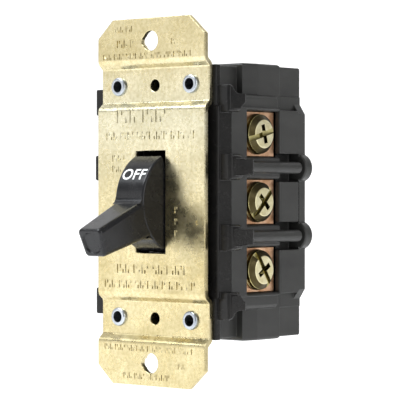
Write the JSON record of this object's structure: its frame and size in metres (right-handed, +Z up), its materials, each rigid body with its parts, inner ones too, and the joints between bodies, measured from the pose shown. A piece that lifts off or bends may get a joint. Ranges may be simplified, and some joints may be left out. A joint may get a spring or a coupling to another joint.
{
  "type": "toggle disconnect switch",
  "caption": "Device-box toggle disconnect switch with plated mounting strap, black lever and side screw terminals between barrier ribs.",
  "frame": {"origin": "centre of the toggle window, on the front plane of the mounting strap, midway between the mounting holes", "axes": "+X to the right seen from the front, +Y into the wall, +Z up along the strap"},
  "size_m": [0.048, 0.0618, 0.0952],
  "materials": {
    "strap_plating": "pale gold zinc plating, satin, slightly mottled",
    "cover_phenolic": "moulded glossy black",
    "base_phenolic": "moulded dark grey-black, dull",
    "toggle_plastic": "moulded black, semi-gloss",
    "carrier_plastic": "moulded red-brown insulation",
    "rivet_steel": "bright zinc",
    "plain_steel": "ground",
    "spring_steel": "bright drawn",
    "terminal_copper": "copper, rolled and slightly toned",
    "contact_copper": "copper, satin",
    "contact_silver": "silver, satin",
    "washer_bronze": "dark passivated brass",
    "screw_brass": "brass, turned"
  },
  "bodies": {
    "housing": {"mounting_strap": "strap_plating", "front_cover": "cover_phenolic", "base_housing": "base_phenolic", "rear_cover": "base_phenolic", "hollow_rivets": "rivet_steel", "toggle_pivot_pin": "plain_steel", "pivot_washers": "plain_steel", "detent_spring": "spring_steel", "terminal_right_top": "terminal_copper", "fixed_contact_right_top": "contact_silver", "terminal_left_top": "terminal_copper", "fixed_contact_left_top": "contact_silver", "terminal_right_middle": "terminal_copper", "fixed_contact_right_middle": "contact_silver", "terminal_left_middle": "terminal_copper", "fixed_contact_left_middle": "contact_silver", "terminal_right_bottom": "terminal_copper", "fixed_contact_right_bottom": "contact_silver", "terminal_left_bottom": "terminal_copper", "fixed_contact_left_bottom": "contact_silver"},
    "toggle": {"toggle_handle": "toggle_plastic", "toggle_arm": "plain_steel"},
    "carrier": {"contact_carrier": "carrier_plastic", "contact_spring_top": "spring_steel", "contact_spring_middle": "spring_steel", "contact_spring_bottom": "spring_steel"},
    "contact_bar_top": {"contact_bar_top": "contact_copper", "moving_tips_top": "contact_silver"},
    "clamp_right_top": {"saddle_washer_right_top": "washer_bronze"},
    "screw_right_top": {"terminal_screw_right_top": "screw_brass"},
    "clamp_left_top": {"saddle_washer_left_top": "washer_bronze"},
    "screw_left_top": {"terminal_screw_left_top": "screw_brass"},
    "contact_bar_middle": {"contact_bar_middle": "contact_copper", "moving_tips_middle": "contact_silver"},
    "clamp_right_middle": {"saddle_washer_right_middle": "washer_bronze"},
    "screw_right_middle": {"terminal_screw_right_middle": "screw_brass"},
    "clamp_left_middle": {"saddle_washer_left_middle": "washer_bronze"},
    "screw_left_middle": {"terminal_screw_left_middle": "screw_brass"},
    "contact_bar_bottom": {"contact_bar_bottom": "contact_copper", "moving_tips_bottom": "contact_silver"},
    "clamp_right_bottom": {"saddle_washer_right_bottom": "washer_bronze"},
    "screw_right_bottom": {"terminal_screw_right_bottom": "screw_brass"},
    "clamp_left_bottom": {"saddle_washer_left_bottom": "washer_bronze"},
    "screw_left_bottom": {"terminal_screw_left_bottom": "screw_brass"}
  },
  "joints": [
    {"name": "toggle_swing", "type": "hinge", "parent": "housing", "child": "toggle", "pos_m": [0, 0.0051, 0], "axis": [-1, 0, 0], "range_deg": [0, 42]},
    {"name": "carrier_travel", "type": "slide", "parent": "housing", "child": "carrier", "axis": [0, 0, -1], "range_m": [0, 0.00573]},
    {"name": "bar_float_top", "type": "slide", "parent": "carrier", "child": "contact_bar_top", "axis": [0, 0, 1], "range_m": [0, 0.0008], "stiffness_N_per_m": 900, "springref_m": -0.001, "deforming": ["contact_spring_top"]},
    {"name": "clamp_lift_right_top", "type": "slide", "parent": "housing", "child": "clamp_right_top", "axis": [1, 0, 0], "range_m": [0, 0.00238]},
    {"name": "screw_turn_right_top", "type": "hinge", "parent": "clamp_right_top", "child": "screw_right_top", "pos_m": [0.0196, 0.0203, 0.0176], "axis": [1, 0, 0], "range_deg": [0, 1080]},
    {"name": "clamp_lift_left_top", "type": "slide", "parent": "housing", "child": "clamp_left_top", "axis": [-1, 0, 0], "range_m": [0, 0.00238]},
    {"name": "screw_turn_left_top", "type": "hinge", "parent": "clamp_left_top", "child": "screw_left_top", "pos_m": [-0.0196, 0.0203, 0.0176], "axis": [-1, 0, 0], "range_deg": [0, 1080]},
    {"name": "bar_float_middle", "type": "slide", "parent": "carrier", "child": "contact_bar_middle", "axis": [0, 0, 1], "range_m": [0, 0.0008], "stiffness_N_per_m": 900, "springref_m": -0.001, "deforming": ["contact_spring_middle"]},
    {"name": "clamp_lift_right_middle", "type": "slide", "parent": "housing", "child": "clamp_right_middle", "axis": [1, 0, 0], "range_m": [0, 0.00238]},
    {"name": "screw_turn_right_middle", "type": "hinge", "parent": "clamp_right_middle", "child": "screw_right_middle", "pos_m": [0.0196, 0.0203, 0], "axis": [1, 0, 0], "range_deg": [0, 1080]},
    {"name": "clamp_lift_left_middle", "type": "slide", "parent": "housing", "child": "clamp_left_middle", "axis": [-1, 0, 0], "range_m": [0, 0.00238]},
    {"name": "screw_turn_left_middle", "type": "hinge", "parent": "clamp_left_middle", "child": "screw_left_middle", "pos_m": [-0.0196, 0.0203, 0], "axis": [-1, 0, 0], "range_deg": [0, 1080]},
    {"name": "bar_float_bottom", "type": "slide", "parent": "carrier", "child": "contact_bar_bottom", "axis": [0, 0, 1], "range_m": [0, 0.0008], "stiffness_N_per_m": 900, "springref_m": -0.001, "deforming": ["contact_spring_bottom"]},
    {"name": "clamp_lift_right_bottom", "type": "slide", "parent": "housing", "child": "clamp_right_bottom", "axis": [1, 0, 0], "range_m": [0, 0.00238]},
    {"name": "screw_turn_right_bottom", "type": "hinge", "parent": "clamp_right_bottom", "child": "screw_right_bottom", "pos_m": [0.0196, 0.0203, -0.0176], "axis": [1, 0, 0], "range_deg": [0, 1080]},
    {"name": "clamp_lift_left_bottom", "type": "slide", "parent": "housing", "child": "clamp_left_bottom", "axis": [-1, 0, 0], "range_m": [0, 0.00238]},
    {"name": "screw_turn_left_bottom", "type": "hinge", "parent": "clamp_left_bottom", "child": "screw_left_bottom", "pos_m": [-0.0196, 0.0203, -0.0176], "axis": [-1, 0, 0], "range_deg": [0, 1080]}
  ],
  "couplings": [
    {"joint": "toggle_swing", "follows": "carrier_travel", "rad_per_m": 127.84},
    {"joint": "screw_turn_right_top", "follows": "clamp_lift_right_top", "rad_per_m": 7915.8},
    {"joint": "screw_turn_left_top", "follows": "clamp_lift_left_top", "rad_per_m": 7915.8},
    {"joint": "screw_turn_right_middle", "follows": "clamp_lift_right_middle", "rad_per_m": 7915.8},
    {"joint": "screw_turn_left_middle", "follows": "clamp_lift_left_middle", "rad_per_m": 7915.8},
    {"joint": "screw_turn_right_bottom", "follows": "clamp_lift_right_bottom", "rad_per_m": 7915.8},
    {"joint": "screw_turn_left_bottom", "follows": "clamp_lift_left_bottom", "rad_per_m": 7915.8}
  ]
}
